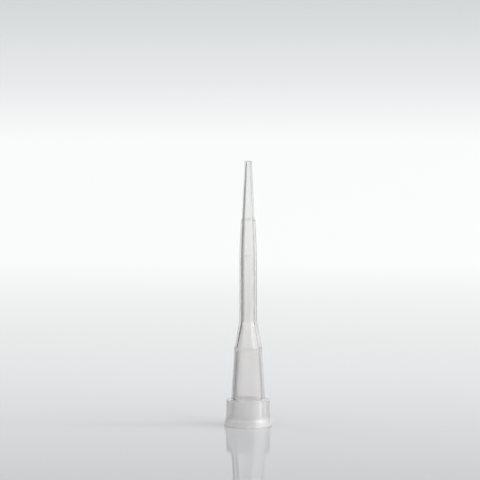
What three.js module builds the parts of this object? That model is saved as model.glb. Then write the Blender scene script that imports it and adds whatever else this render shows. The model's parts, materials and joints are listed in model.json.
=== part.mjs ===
// Micro-volume pipette tip, moulded in one piece of clear polypropylene.
// Millimetres, +Z up. The tip stands on its foot with the fine end up.
// The origin is the centre of the foot's flat underside, and +Z is the tip's axis.

import * as THREE from 'three';

// ---------------------------------------------------------------------------
// Driving dimensions
// ---------------------------------------------------------------------------

// Lengths along the axis, stacked from the foot up to the fine end.
const footRimHeight = 0.62;
const footSweepHeight = 0.5;
const collarHeight = 1.98;
const socketWallLength = 6.15;
const flareLength = 2.95;
const shankLength = 8.1;
const neckLength = 4.05;
const stepLength = 0.05;
const pointLength = 6.92;

// Outside diameters, from the foot up to the fine end.
const footDiameter = 5.64;
const footRimTopDiameter = 5.46;
const collarBaseDiameter = 5.18;
const collarTopDiameter = 5.1;
const socketWallBaseDiameter = 4.0;
const socketWallTopDiameter = 3.24;
const shankBaseDiameter = 2.09;
const shankTopDiameter = 2.05;
const neckTopDiameter = 1.7;
const pointBaseDiameter = 1.49;
const fineEndDiameter = 0.82;

// The bore: a tapered socket for the pipette's nose, then the narrow liquid passage.
const socketWall = 0.38;
const undercutLength = 0.3;
const undercutDepth = 0.03;
const shankBoreBaseDiameter = 1.36;
const shankBoreTopDiameter = 1.35;
const shankBoreSetback = 0.1;
const pointBoreDiameter = 1.08;
const orificeDiameter = 0.4;

// Rounds, by where they are.
const footEdgeRound = 0.05;
const footRimRound = 0.6;
const footSweepRound = 1.6;
const shoulderEdgeRound = 0.02;
const shoulderRootRound = 0.02;
const flareStartRound = 0.6;
const flareEndRound = 1.6;
const neckStartRound = 40;
const stepRound = 0.02;
const fineEndRound = 0.05;
const orificeRound = 0.03;
const boreBlendRound = 0.8;
const mouthRound = 0.05;

// Fineness of the faceted solid.
const facetsAround = 60;
const arcStepDegrees = 30;
// A round may use this share of the shorter side next to it.
const roundShareOfSide = 0.45;

// ---------------------------------------------------------------------------
// Heights and radii that follow from them
// ---------------------------------------------------------------------------

const footRimTop = footRimHeight;
const collarBase = footRimTop + footSweepHeight;
const shoulder = collarBase + collarHeight;
const flareStart = shoulder + socketWallLength;
const flareEnd = flareStart + flareLength;
const shankEnd = flareEnd + shankLength;
const neckEnd = shankEnd + neckLength;
const pointStart = neckEnd + stepLength;
const fineEnd = pointStart + pointLength;

// The socket runs parallel to the wall round it, from the mouth up to a shallow undercut under the flare.
const socketTaper = (socketWallBaseDiameter - socketWallTopDiameter) / 2 / socketWallLength;
const undercutStart = flareStart - undercutLength;

function socketRadiusAt(height) {
  const outside = socketWallBaseDiameter / 2 + (shoulder - height) * socketTaper;
  return outside - socketWall;
}

// ---------------------------------------------------------------------------
// Outline tools
// ---------------------------------------------------------------------------

// A corner of the revolved outline: its radius from the axis, its height and its round.
function corner(radius, height, round = 0) {
  return { point: new THREE.Vector2(radius, height), round };
}

// The points that stand for one corner: itself, or an arc tangent to both of its sides.
function cornerPoints(before, here, after) {
  const toBefore = before.point.clone().sub(here.point);
  const toAfter = after.point.clone().sub(here.point);
  const sideLimit = roundShareOfSide * Math.min(toBefore.length(), toAfter.length());
  toBefore.normalize();
  toAfter.normalize();

  const halfOpening = Math.acos(THREE.MathUtils.clamp(toBefore.dot(toAfter), -1, 1)) / 2;
  const reach = Math.min(here.round / Math.tan(halfOpening), sideLimit);
  if (here.round === 0 || reach <= 0) {
    return [here.point];
  }

  const radius = reach * Math.tan(halfOpening);
  const towardsCentre = toBefore.clone().add(toAfter).normalize();
  const centre = here.point.clone().addScaledVector(towardsCentre, radius / Math.sin(halfOpening));
  const arcStart = here.point.clone().addScaledVector(toBefore, reach).sub(centre);
  const sweep = Math.PI - 2 * halfOpening;
  const turn = Math.sign(toAfter.cross(toBefore)) * sweep;
  const steps = Math.max(1, Math.round(sweep / THREE.MathUtils.degToRad(arcStepDegrees)));

  const points = [];
  for (let step = 0; step <= steps; step += 1) {
    const spoke = arcStart.clone().rotateAround(new THREE.Vector2(), (turn * step) / steps);
    points.push(spoke.add(centre));
  }
  return points;
}

// The closed outline through a ring of corners, with its first point repeated at the end.
function roundedOutline(corners) {
  const points = corners.flatMap((here, index) => {
    const before = corners[(index + corners.length - 1) % corners.length];
    const after = corners[(index + 1) % corners.length];
    return cornerPoints(before, here, after);
  });
  points.push(points[0].clone());
  return points;
}

// Turns a closed outline about the +Z axis.
function revolve(outline) {
  const geometry = new THREE.LatheGeometry(outline, facetsAround);
  geometry.rotateX(Math.PI / 2);
  return geometry;
}

// ---------------------------------------------------------------------------
// The tip
// ---------------------------------------------------------------------------

// The tapered foot sweeps into the collar, whose flat top is the shoulder that hangs in a rack.
function footAndCollar() {
  return [
    corner(footDiameter / 2, 0, footEdgeRound),
    corner(footRimTopDiameter / 2, footRimTop, footRimRound),
    corner(collarBaseDiameter / 2, collarBase, footSweepRound),
    corner(collarTopDiameter / 2, shoulder, shoulderEdgeRound),
    corner(socketWallBaseDiameter / 2, shoulder, shoulderRootRound),
  ];
}

// The outside above the shoulder: socket wall, flare, shank, neck, step and point.
function stem() {
  return [
    corner(socketWallTopDiameter / 2, flareStart, flareStartRound),
    corner(shankBaseDiameter / 2, flareEnd, flareEndRound),
    corner(shankTopDiameter / 2, shankEnd, neckStartRound),
    corner(neckTopDiameter / 2, neckEnd, stepRound),
    corner(pointBaseDiameter / 2, pointStart, stepRound),
    corner(fineEndDiameter / 2, fineEnd, fineEndRound),
  ];
}

// The bore, from the orifice down to the mouth in the foot.
function bore() {
  return [
    corner(orificeDiameter / 2, fineEnd, orificeRound),
    corner(pointBoreDiameter / 2, pointStart, boreBlendRound),
    corner(shankBoreTopDiameter / 2, shankEnd, neckStartRound),
    corner(shankBoreBaseDiameter / 2, flareEnd + shankBoreSetback, boreBlendRound),
    corner(socketRadiusAt(flareStart) + undercutDepth, flareStart),
    corner(socketRadiusAt(undercutStart), undercutStart),
    corner(socketRadiusAt(0), 0, mouthRound),
  ];
}

function pipetteTip() {
  const clearPlastic = new THREE.MeshStandardMaterial({
    color: 0xe4e7e5,
    roughness: 0.22,
    metalness: 0,
    transparent: true,
    opacity: 0.45,
  });
  const outline = roundedOutline([...footAndCollar(), ...stem(), ...bore()]);
  const tip = new THREE.Mesh(revolve(outline), clearPlastic);
  tip.name = 'pipette_tip';
  return tip;
}

const part = new THREE.Group();
part.add(pipetteTip());

export default part;
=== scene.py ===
"""A clear moulded pipette tip standing on its foot on a glossy pale table, under soft studio light.

The tip is one revolved wall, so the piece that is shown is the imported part's own section, spun finely,
in clear polypropylene.
"""

import json
from math import atan, cos, pi, radians, sin

import bmesh
import bpy
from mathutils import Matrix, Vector


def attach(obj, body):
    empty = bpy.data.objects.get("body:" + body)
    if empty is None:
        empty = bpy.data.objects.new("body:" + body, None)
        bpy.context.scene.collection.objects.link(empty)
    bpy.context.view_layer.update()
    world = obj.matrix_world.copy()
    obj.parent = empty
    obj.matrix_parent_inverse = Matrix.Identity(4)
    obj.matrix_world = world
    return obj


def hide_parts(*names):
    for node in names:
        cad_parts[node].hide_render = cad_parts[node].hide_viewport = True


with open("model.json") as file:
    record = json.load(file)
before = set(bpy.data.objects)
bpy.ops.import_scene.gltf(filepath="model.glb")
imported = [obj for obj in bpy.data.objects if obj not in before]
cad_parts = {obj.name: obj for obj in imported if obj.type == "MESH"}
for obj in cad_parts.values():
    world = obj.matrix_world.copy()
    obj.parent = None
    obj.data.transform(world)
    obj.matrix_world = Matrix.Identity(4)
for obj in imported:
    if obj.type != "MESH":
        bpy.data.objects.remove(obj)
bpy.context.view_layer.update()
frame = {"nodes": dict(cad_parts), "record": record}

MM = 0.001

# ---- sizes and places -----------------------------------------------------------------------------

# The wall, spun from its section.
SPIN_STEPS = 128
HOLD = 0.015 * MM  # a held point this far from a corner keeps a long side straight
HELD_SIDE = 0.16 * MM  # sides longer than this are held
MERGE = 0.0005 * MM  # points closer than this are one

# The flat shoulder on top of the collar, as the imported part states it.
MOUNT_HEIGHTS = {mount["name"]: mount["pos_m"][2] for mount in frame["record"]["mounts"]}
SHOULDER = MOUNT_HEIGHTS["rack_shoulder"]

# The camera: a long lens, nine degrees above the table at the foot.
CAMERA_DISTANCE = 1.5
CAMERA_HEIGHT_ANGLE = radians(9.0)
SENSOR = 36.0
VIEW_WIDTH = 56.45 * MM  # what the camera sees across, at the tip
FOOT_BELOW_CENTRE = 21.757 * MM
FOOT_RIGHT_OF_CENTRE = 0.9585 * MM

# The table, in metres. The foot hovers over it by a hair, so that the two faces stay apart.
TABLE_HALF_SIDE = 3.0
TABLE_GAP = 0.002 * MM

# ---- colours and finishes -------------------------------------------------------------------------

# Clear polypropylene: flow lines along the tip, and a warm, cloudy tint that is paler in the thin end.
FLOW_CELLS_PER_METRE = 700.0
FLOW_STRETCH = (1.0, 1.0, 0.06)
CLOUD_CELLS_PER_METRE = 420.0
NOISE_LOW = 0.3  # nearly all of the noise lies between these two
NOISE_HIGH = 0.7
CLEAR_ROUGHNESS_LOW = 0.03
CLEAR_ROUGHNESS_HIGH = 0.07
PALE_TINT = (0.95, 0.94, 0.932, 1.0)
DEEP_TINT = (0.92, 0.91, 0.902, 1.0)
THIN_END_TINT = (0.965, 0.962, 0.957, 1.0)
THIN_END_FROM = 18.0 * MM
THIN_END_TO = 25.0 * MM
CLEAR_TRANSMISSION = 0.97
PLASTIC_IOR = 1.49

# The milky skin of the collar and foot: most of it at the foot's rim, and none above the shoulder.
MILKY_COLOUR = (0.985, 0.98, 0.975, 1.0)
MILKY_ADDED_ROUGHNESS = 0.5
MILKY_TRANSMISSION = 0.5
RIM_MILKINESS = 0.75
COLLAR_MILKINESS = 0.5
RIM_UP_TO = 0.4 * MM
COLLAR_FROM = 1.2 * MM
MILKY_UP_TO = SHOULDER + 0.005 * MM
CLEAR_FROM = SHOULDER + 0.025 * MM

# The two short moulded lines on the front of the shank, drawn as painted shade in their tint: height,
# middle, half length and strength.
MARKS = [(20.2 * MM, -0.09 * MM, 0.26 * MM, 0.9), (17.5 * MM, 0.0, 0.2 * MM, 0.35)]
MARK_PAINTED_SHADE = (0.80, 0.80, 0.80, 1.0)
MARK_FULL_TO = 0.02 * MM  # a line is full this far above and below its own height
MARK_GONE_AT = 0.08 * MM  # and has faded out this far above and below it
MARK_END_FADE = 0.1 * MM  # it also fades over this length past each end
MARK_FRONT = 0.2 * MM  # the lines are full this far in front of the axis, and gone behind it

# The table's colour, from in front of the tip to behind it, in metres from its axis, is painted light and
# shade:
# darkest just in front of the tip, grey round it, painted light near white further back, and darker again
# beyond.
# It is even further out.
TABLE_REACH = 0.6
TABLE_PAINTED_LIGHT_AND_SHADE = [
    (-0.40, (0.70, 0.70, 0.70)), (-0.15, (0.60, 0.60, 0.60)), (-0.04, (0.39, 0.40, 0.415)),
    (0.0, (0.51, 0.517, 0.54)), (0.035, (0.61, 0.618, 0.643)), (0.07, (0.673, 0.691, 0.685)),
    (0.10, (0.75, 0.772, 0.763)), (0.133, (0.89, 0.913, 0.904)), (0.25, (0.917, 0.941, 0.931)),
    (0.31, (0.71, 0.72, 0.75)), (0.40, (0.457, 0.505, 0.513)), (0.60, (0.60, 0.60, 0.60)),
]

# Painted shade: the table turns darker on the left, from one of these places to the other, in metres.
LEFT_PAINTED_SHADE = (0.25, 0.25, 0.27, 1.0)
LEFT_PAINTED_SHADE_AMOUNT = 0.5
LEFT_PAINTED_SHADE_FROM = -0.045
LEFT_PAINTED_SHADE_TO = -0.09

# ---- light ----------------------------------------------------------------------------------------

# An area lamp of this many watts on each square metre is as bright as white.
WATTS_FOR_WHITE = pi

# Light round the tip: degrees to the right of straight behind it, and brightness.
HORIZON_LIGHT = [(-180, 0.9), (-87, 0.9), (-83, 0.1), (-45, 0.1), (-36, 0.9), (180, 0.9)]
SKIRT_LIGHT = [
    (-180, 0.9), (-145, 0.9), (-130, 0.0), (-42, 0.0), (-36, 0.9), (-20, 0.9), (30, 0.9), (50, 0.35),
    (130, 0.5), (180, 0.9),
]
LOW_LIGHT = [
    (-180, 0.4), (-150, 0.3), (-110, 0.0), (-22, 0.0), (-17, 0.1), (-12, 0.7), (-6, 1.0), (10, 0.95),
    (32, 0.7), (42, 0.2), (60, 0.2), (100, 0.3), (140, 0.4), (180, 0.4),
]
MIDDLE_LIGHT = [
    (-180, 1.0), (-135, 1.2), (-120, 1.8), (-60, 1.8), (-45, 0.5), (-25, 0.1), (-10, 1.0), (20, 1.0),
    (40, 0.8), (65, 1.8), (120, 1.8), (140, 1.2), (180, 1.1),
]

# The rings of light above the horizon's. Each takes over between two heights, and a height is the sine of
# the angle above the table.
RINGS_ABOVE = [(0.018, 0.026, SKIRT_LIGHT), (0.095, 0.12, LOW_LIGHT), (0.17, 0.20, MIDDLE_LIGHT)]
OVERHEAD_LIGHT = (0.765, 0.765, 0.765, 1.0)
OVERHEAD_FROM = 0.36
OVERHEAD_TO = 0.44


# ---- node trees -----------------------------------------------------------------------------------


class Value:
    """One output in a node tree. The operators on it add Math nodes."""

    def __init__(self, tree, socket):
        self.tree = tree
        self.socket = socket

    def __abs__(self):
        return self.tree.math("ABSOLUTE", self)

    def __add__(self, other):
        return self.tree.math("ADD", self, other)

    def __sub__(self, other):
        return self.tree.math("SUBTRACT", self, other)

    def __rsub__(self, other):
        return self.tree.math("SUBTRACT", other, self)

    def __mul__(self, other):
        return self.tree.math("MULTIPLY", self, other)

    __radd__ = __add__
    __rmul__ = __mul__


class Tree:
    """The node tree of a material or of the world, cleared and ready to fill."""

    def __init__(self, owner):
        owner.use_nodes = True
        self.nodes = owner.node_tree.nodes
        self.links = owner.node_tree.links
        self.nodes.clear()

    def add(self, kind, settings=None, sockets=None, output=0):
        """Adds one node: its settings first, then the values or links of its sockets."""
        node = self.nodes.new(kind)
        for name, value in (settings or {}).items():
            if name == "stops":
                self.set_stops(node.color_ramp, value)
            else:
                setattr(node, name, value)
        for name, value in (sockets or {}).items():
            if isinstance(value, Value):
                self.links.new(value.socket, node.inputs[name])
            else:
                node.inputs[name].default_value = value
        return Value(self, node.outputs[output]) if node.outputs else None

    @staticmethod
    def set_stops(ramp, stops):
        """Gives a new colour ramp its stops, each a place from 0 to 1 and a colour."""
        ramp.interpolation = "LINEAR"
        while len(ramp.elements) < len(stops):
            ramp.elements.new(1.0)
        for element, (place, colour) in zip(ramp.elements, stops):
            element.position = place
            element.color = (*colour, 1.0)

    def math(self, operation, *terms):
        """Adds one Math node."""
        return self.add("ShaderNodeMath", {"operation": operation}, dict(enumerate(terms)))

    def place(self, coordinates="Object"):
        """The separate X, Y and Z of a coordinate output."""
        where = self.add("ShaderNodeTexCoord", output=coordinates)
        split = self.add("ShaderNodeSeparateXYZ", None, {0: where})
        return [Value(self, axis) for axis in split.socket.node.outputs]

    def noise(self, cells_per_metre, detail=2.0, stretch=(1.0, 1.0, 1.0)):
        """Noise from 0 to 1 on Object coordinates, drawn out along an axis whose stretch is under 1."""
        where = self.add("ShaderNodeTexCoord", output="Object")
        stretched = self.add("ShaderNodeMapping", None, {"Vector": where, "Scale": stretch})
        sockets = {"Vector": stretched, "Scale": cells_per_metre, "Detail": detail}
        return self.add("ShaderNodeTexNoise", None, sockets, "Fac")

    def remap(self, value, low, high, to_low, to_high):
        """Turns low to high into to_low to to_high, and stays at those beyond them."""
        sockets = {0: value, 1: low, 2: high, 3: to_low, 4: to_high}
        return self.add("ShaderNodeMapRange", None, sockets)

    def blend(self, factor, first, second):
        """A colour between two. A Mix node takes colours at sockets 6 and 7 and gives one at output 2."""
        sockets = {0: factor, 6: first, 7: second}
        return self.add("ShaderNodeMix", {"data_type": "RGBA"}, sockets, 2)


# ---- objects --------------------------------------------------------------------------------------


def linked(name, data):
    """A new object in the scene that shows a mesh, a lamp or a camera."""
    thing = bpy.data.objects.new(name, data)
    bpy.context.scene.collection.objects.link(thing)
    return thing


def mesh_object(name, bm, material):
    """Turns a finished bmesh into a smooth-shaded object with one material."""
    mesh = bpy.data.meshes.new(name)
    bm.to_mesh(mesh)
    bm.free()
    mesh.materials.append(material)
    mesh.shade_smooth()
    return linked(name, mesh)


# ---- the clear wall -------------------------------------------------------------------------------


def graduation_marks(tree):
    """The two short moulded lines on the front of the shank, where painted shade darkens the tint: their
    strength on them, and 0 elsewhere.
    """
    across, depth, height = tree.place()
    front = tree.remap(depth, -MARK_FRONT, 0.0, 1.0, 0.0)
    marks = 0.0
    for level, middle, reach, strength in MARKS:
        line = tree.remap(abs(height - level), MARK_FULL_TO, MARK_GONE_AT, strength, 0.0)
        marks += line * tree.remap(abs(across - middle), reach, reach + MARK_END_FADE, 1.0, 0.0)
    return marks * front


def milkiness(tree, height):
    """How much of the milky skin there is at each height."""
    share = tree.remap(height, RIM_UP_TO, COLLAR_FROM, RIM_MILKINESS, COLLAR_MILKINESS)
    return share * tree.remap(height, MILKY_UP_TO, CLEAR_FROM, 1.0, 0.0)


def clear_polypropylene():
    """Natural polypropylene: clear in the thin wall, milky in the thick collar and foot."""
    material = bpy.data.materials.new("clear_polypropylene")
    tree = Tree(material)
    _, _, height = tree.place()
    flow = tree.noise(FLOW_CELLS_PER_METRE, detail=1.0, stretch=FLOW_STRETCH)
    roughness = tree.remap(flow, NOISE_LOW, NOISE_HIGH, CLEAR_ROUGHNESS_LOW, CLEAR_ROUGHNESS_HIGH)
    ripple = tree.add("ShaderNodeBump", None, {"Strength": 0.03, "Distance": 0.02 * MM, "Height": flow})

    tint = tree.blend(tree.noise(CLOUD_CELLS_PER_METRE), PALE_TINT, DEEP_TINT)
    thin_end = tree.remap(height, THIN_END_FROM, THIN_END_TO, 0.0, 1.0)
    tint = tree.blend(thin_end, tint, THIN_END_TINT)
    # The moulded lines get a painted shade in the tint.
    tint = tree.blend(graduation_marks(tree), tint, MARK_PAINTED_SHADE)

    clear = tree.add("ShaderNodeBsdfPrincipled", None, {
        "Base Color": tint,
        "Roughness": roughness,
        "IOR": PLASTIC_IOR,
        "Transmission Weight": CLEAR_TRANSMISSION,
        "Normal": ripple,
    })
    milky = tree.add("ShaderNodeBsdfPrincipled", None, {
        "Base Color": MILKY_COLOUR,
        "Roughness": roughness + MILKY_ADDED_ROUGHNESS,
        "IOR": PLASTIC_IOR,
        "Transmission Weight": MILKY_TRANSMISSION,
        "Coat Weight": 1.0,
        "Coat Roughness": 0.03,
        "Normal": ripple,
    })
    wall = tree.add("ShaderNodeMixShader", None, {0: milkiness(tree, height), 1: clear, 2: milky})
    tree.add("ShaderNodeOutputMaterial", None, {"Surface": wall})
    return material


def section_of(node):
    """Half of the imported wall's section: the closed wire where the XZ plane cuts it."""
    bm = bmesh.new()
    bm.from_mesh(node.data)
    bmesh.ops.remove_doubles(bm, verts=bm.verts, dist=MERGE)
    cut = {"plane_co": (0, 0, 0), "plane_no": (0, 1, 0), "clear_inner": True, "clear_outer": True}
    bmesh.ops.bisect_plane(bm, geom=bm.verts[:] + bm.edges[:] + bm.faces[:], dist=MERGE, **cut)
    far_side = [v for v in bm.verts if v.co.x < 0]
    bmesh.ops.delete(bm, geom=far_side, context="VERTS")
    return bm


def hold_long_sides(bm):
    """Splits each long side near both its ends, so that smoothing stays at the corners."""
    for edge in [e for e in bm.edges if e.calc_length() > HELD_SIDE]:
        start, end = edge.verts
        added, _ = bmesh.utils.edge_split(edge, start, HOLD / edge.calc_length())
        longer = edge if end in edge.verts else added
        bmesh.utils.edge_split(longer, end, HOLD / longer.calc_length())


def tip(node):
    """The whole tip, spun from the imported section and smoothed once."""
    bm = section_of(node)
    hold_long_sides(bm)
    spin = {"cent": (0, 0, 0), "axis": (0, 0, 1), "angle": 2 * pi, "steps": SPIN_STEPS}
    bmesh.ops.spin(bm, geom=bm.verts[:] + bm.edges[:], use_merge=True, **spin)
    bmesh.ops.remove_doubles(bm, verts=bm.verts, dist=MERGE)
    bmesh.ops.recalc_face_normals(bm, faces=bm.faces)
    wall = mesh_object("tip_wall", bm, clear_polypropylene())
    smooth = wall.modifiers.new("smooth", "SUBSURF")
    smooth.levels = 1
    smooth.render_levels = 1
    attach(wall, "root")
    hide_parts("pipette_tip")


# ---- the stage ------------------------------------------------------------------------------------


def glossy_table():
    """A pale glossy sheet. Painted shade makes it greyer round the tip and darker on the left, and painted
    light makes it white further back.
    """
    material = bpy.data.materials.new("glossy_table")
    tree = Tree(material)
    across, depth, _ = tree.place()
    # Painted light and shade along the table, from in front of the tip to behind it.
    along = tree.remap(depth, -TABLE_REACH, TABLE_REACH, 0.0, 1.0)
    stops = [((far + TABLE_REACH) / (2 * TABLE_REACH), colour) for far, colour in TABLE_PAINTED_LIGHT_AND_SHADE]
    shade = tree.add("ShaderNodeValToRGB", {"stops": stops}, {"Fac": along})
    # Painted shade on the left of the table.
    left = tree.remap(across, LEFT_PAINTED_SHADE_FROM, LEFT_PAINTED_SHADE_TO, 0.0, LEFT_PAINTED_SHADE_AMOUNT)
    shade = tree.blend(left, shade, LEFT_PAINTED_SHADE)
    sockets = {"Base Color": shade, "Roughness": 0.02, "IOR": 1.22}
    sheet = tree.add("ShaderNodeBsdfPrincipled", None, sockets)
    tree.add("ShaderNodeOutputMaterial", None, {"Surface": sheet})
    return material


def table_top():
    """The flat table that the tip stands on."""
    bm = bmesh.new()
    bmesh.ops.create_grid(bm, x_segments=1, y_segments=1, size=TABLE_HALF_SIDE)
    bmesh.ops.translate(bm, verts=bm.verts, vec=(0, 0, -TABLE_GAP))
    mesh_object("table_top", bm, glossy_table())


def ring_of_light(tree, around, levels):
    """Soft light round the tip, from a list of turns and brightnesses."""
    stops = [((turn + 180.0) / 360.0, (level, level, level)) for turn, level in levels]
    return tree.add("ShaderNodeValToRGB", {"stops": stops}, {"Fac": around})


def studio_walls():
    """The room's soft light, in rings from the horizon up, and even overhead."""
    world = bpy.data.worlds.new("studio")
    bpy.context.scene.world = world
    tree = Tree(world)
    across, depth, height = tree.place("Generated")
    around = tree.remap(tree.math("ARCTAN2", across, depth), -pi, pi, 0.0, 1.0)
    light = ring_of_light(tree, around, HORIZON_LIGHT)
    for start, end, levels in RINGS_ABOVE:
        higher = tree.remap(height, start, end, 0.0, 1.0)
        light = tree.blend(higher, light, ring_of_light(tree, around, levels))
    overhead = tree.remap(height, OVERHEAD_FROM, OVERHEAD_TO, 0.0, 1.0)
    light = tree.blend(overhead, light, OVERHEAD_LIGHT)
    glow = tree.add("ShaderNodeBackground", None, {"Color": light, "Strength": 1.0})
    tree.add("ShaderNodeOutputWorld", None, {"Surface": glow})


def soft_lamp(name, angle, distance, bottom, size, brightness, mirrored=True):
    """An upright soft panel that faces the tip, so many degrees to the right of straight behind it."""
    width, height = size
    lamp = bpy.data.lights.new(name, "AREA")
    lamp.shape = "RECTANGLE"
    lamp.size = width
    lamp.size_y = height
    lamp.energy = brightness * width * height * WATTS_FOR_WHITE
    panel = linked(name, lamp)
    panel.visible_glossy = mirrored
    middle = bottom + height / 2
    panel.location = (distance * sin(radians(angle)), distance * cos(radians(angle)), middle)
    facing = Vector((0, 0, middle)) - panel.location
    panel.rotation_euler = facing.to_track_quat("-Z", "Y").to_euler()


def studio_lamps():
    """Four lamps on the right and a weaker one high on the left."""
    # A broad panel, and two smaller and brighter ones in front of it for the highlights.
    soft_lamp("panel_lamp", angle=112, distance=0.50, bottom=0.02, size=(0.64, 0.43), brightness=1.65)
    soft_lamp("upper_lamp", angle=125, distance=0.48, bottom=0.143, size=(0.28, 0.05), brightness=4.6)
    soft_lamp("strip_lamp", angle=112, distance=0.38, bottom=0.035, size=(0.05, 0.033), brightness=12.0)
    # A small lamp that gives the foot its thin shadow on the left, and isn't mirrored in what is glossy.
    soft_lamp(
        "key_lamp", angle=92, distance=0.50, bottom=0.17, size=(0.08, 0.19), brightness=14.0,
        mirrored=False,
    )
    # The weaker one on the left.
    soft_lamp("left_lamp", angle=-75, distance=0.50, bottom=0.30, size=(0.50, 0.40), brightness=1.0)


def camera():
    """A long lens from in front, with the foot low in the view and just right of its middle."""
    data = bpy.data.cameras.new("camera")
    data.sensor_width = SENSOR
    data.lens = SENSOR * CAMERA_DISTANCE / VIEW_WIDTH
    eye = linked("camera", data)
    below = atan(FOOT_BELOW_CENTRE / CAMERA_DISTANCE)
    rise = CAMERA_DISTANCE * sin(CAMERA_HEIGHT_ANGLE)
    back = CAMERA_DISTANCE * cos(CAMERA_HEIGHT_ANGLE)
    eye.location = (-FOOT_RIGHT_OF_CENTRE, -back, rise)
    eye.rotation_euler = (pi / 2 - CAMERA_HEIGHT_ANGLE + below, 0, 0)
    bpy.context.scene.camera = eye


tip(frame["nodes"]["pipette_tip"])
table_top()
studio_walls()
studio_lamps()
camera()

scene = bpy.context.scene
scene.view_settings.view_transform = "Standard"

# Light crosses the clear wall many times, so more bounces than usual are followed.
scene.cycles.max_bounces = 24
scene.cycles.glossy_bounces = 16
scene.cycles.transmission_bounces = 24
